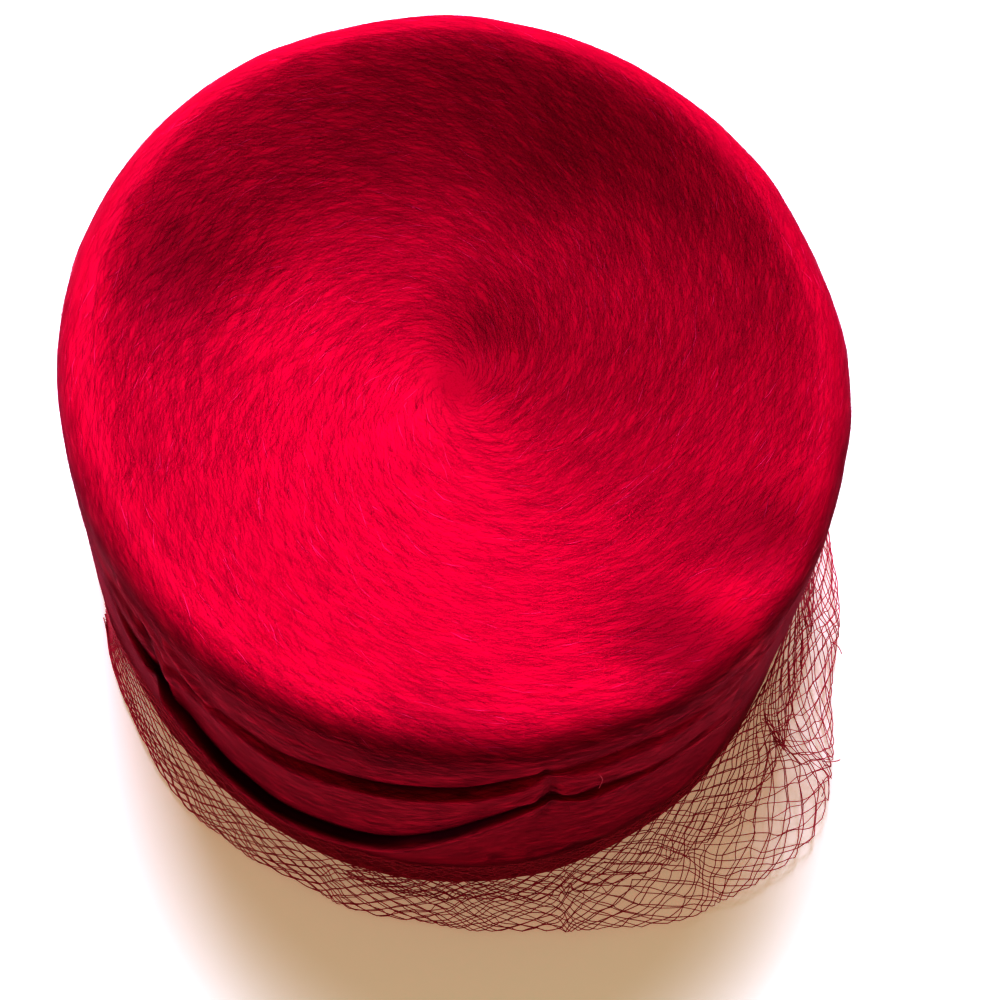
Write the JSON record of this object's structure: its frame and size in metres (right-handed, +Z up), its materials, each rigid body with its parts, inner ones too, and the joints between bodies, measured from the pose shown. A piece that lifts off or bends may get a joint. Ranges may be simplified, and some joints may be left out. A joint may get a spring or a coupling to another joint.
{
  "type": "pillbox hat",
  "caption": "Oval pillbox hat of long-napped felt with a dished tip, a rolled shoulder, draped tucks at the front and a short net veil flaring out round its base.",
  "frame": {"origin": "centre of the head opening, at the height of the lower rim", "axes": "+Z up, out of the tip. -Y is the front, where the tucks meet, and the head opening is longest along Y."},
  "size_m": [0.1853, 0.2114, 0.087],
  "materials": {
    "felt": "long-napped fur felt with a soft sheen",
    "veiling": "fine diamond net of thin threads"
  },
  "bodies": {
    "root": {"crown": "felt", "veil": "veiling"}
  },
  "joints": []
}
